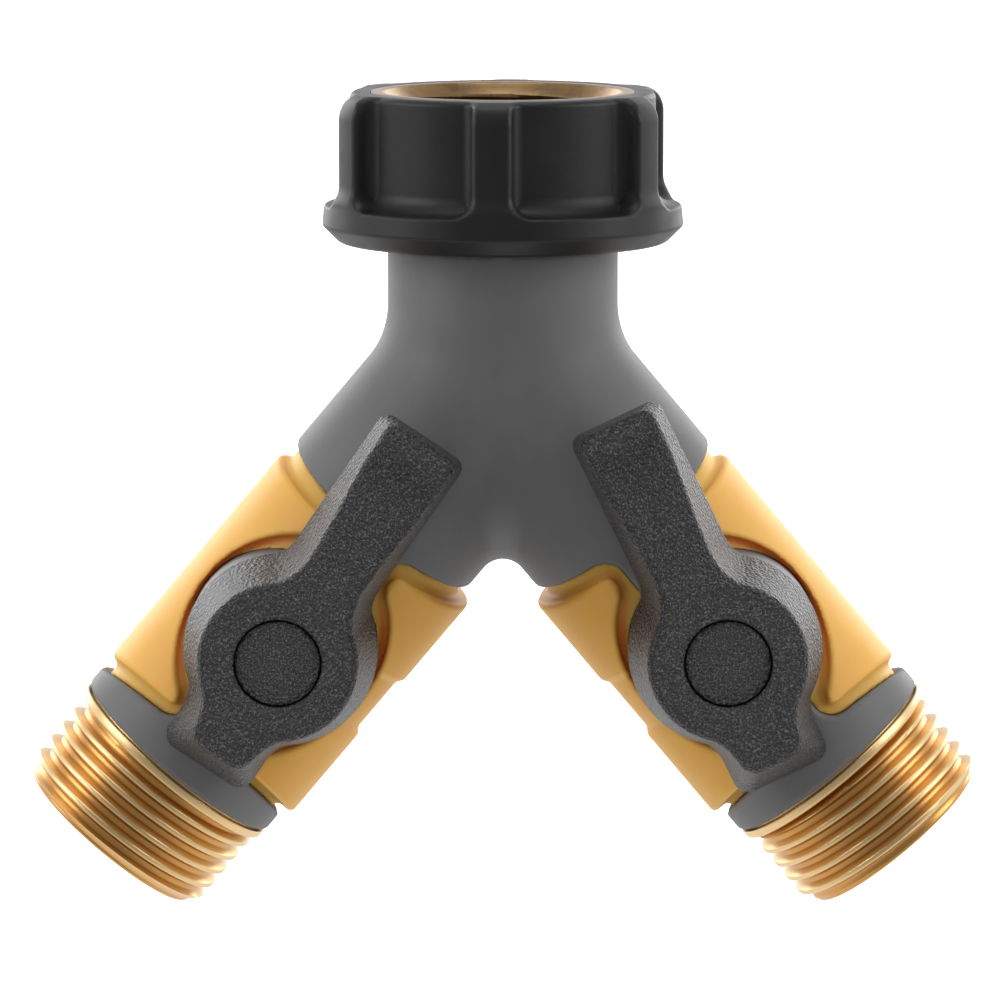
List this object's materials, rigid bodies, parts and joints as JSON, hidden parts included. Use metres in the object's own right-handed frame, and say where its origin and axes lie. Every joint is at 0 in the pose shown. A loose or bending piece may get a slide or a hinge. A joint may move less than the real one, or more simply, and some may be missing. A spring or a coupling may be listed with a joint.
{
  "type": "garden hose splitter",
  "caption": "Garden hose Y-splitter: swivelling female inlet nut, threaded brass outlets on angled arms with soft grips, and a ball valve with a lever in each arm.",
  "frame": {"origin": "centre of the inlet washer's upper face, where the tap's end seals, on the inlet axis", "axes": "+Z along the inlet axis towards the tap, +X from the left arm to the right arm, -Y the side that the levers are on"},
  "size_m": [0.114, 0.0472, 0.0988],
  "materials": {
    "black_nylon": "fine-grained satin moulding",
    "grained_nylon": "coarse-grained matt moulding with a slight sparkle",
    "grey_rubber": "smooth matt soft-touch overmould",
    "yellow_rubber": "smooth waxy soft-touch overmould, deeper orange where it is thick",
    "black_rubber": "matt black seal rubber",
    "brass": "bright turned brass with fine lathe lines",
    "plated_ball": "polished plating",
    "white_ptfe": "smooth milky white",
    "steel": "plain zinc-plated"
  },
  "bodies": {
    "splitter": {"core_body": "brass", "y_cover": "grey_rubber", "inlet_tailpiece": "brass", "tailpiece_oring": "black_rubber", "inlet_washer": "black_rubber", "left_grip": "yellow_rubber", "left_outlet": "brass", "left_outlet_oring": "black_rubber", "left_inner_seat": "white_ptfe", "left_outer_seat": "white_ptfe", "right_grip": "yellow_rubber", "right_outlet": "brass", "right_outlet_oring": "black_rubber", "right_inner_seat": "white_ptfe", "right_outer_seat": "white_ptfe"},
    "swivel_nut": {"nut_thread_insert": "brass", "nut_cover": "black_nylon"},
    "left_valve": {"left_ball": "plated_ball", "left_stem": "brass", "left_stem_orings": "black_rubber", "left_thrust_washer": "white_ptfe", "left_lever": "grained_nylon", "left_lever_screw": "steel", "left_lever_cap": "grained_nylon"},
    "right_valve": {"right_ball": "plated_ball", "right_stem": "brass", "right_stem_orings": "black_rubber", "right_thrust_washer": "white_ptfe", "right_lever": "grained_nylon", "right_lever_screw": "steel", "right_lever_cap": "grained_nylon"}
  },
  "joints": [
    {"name": "nut_swivel", "type": "hinge", "parent": "splitter", "child": "swivel_nut", "pos_m": [0, 0, -0.005], "axis": [0, 0, 1], "continuous": true},
    {"name": "left_valve_turn", "type": "hinge", "parent": "splitter", "child": "left_valve", "pos_m": [-0.02655, 0, -0.05594], "axis": [0, -1, 0], "range_deg": [-6.1, 83.9]},
    {"name": "right_valve_turn", "type": "hinge", "parent": "splitter", "child": "right_valve", "pos_m": [0.02655, 0, -0.05594], "axis": [0, 1, 0], "range_deg": [-14.3, 75.7]}
  ]
}
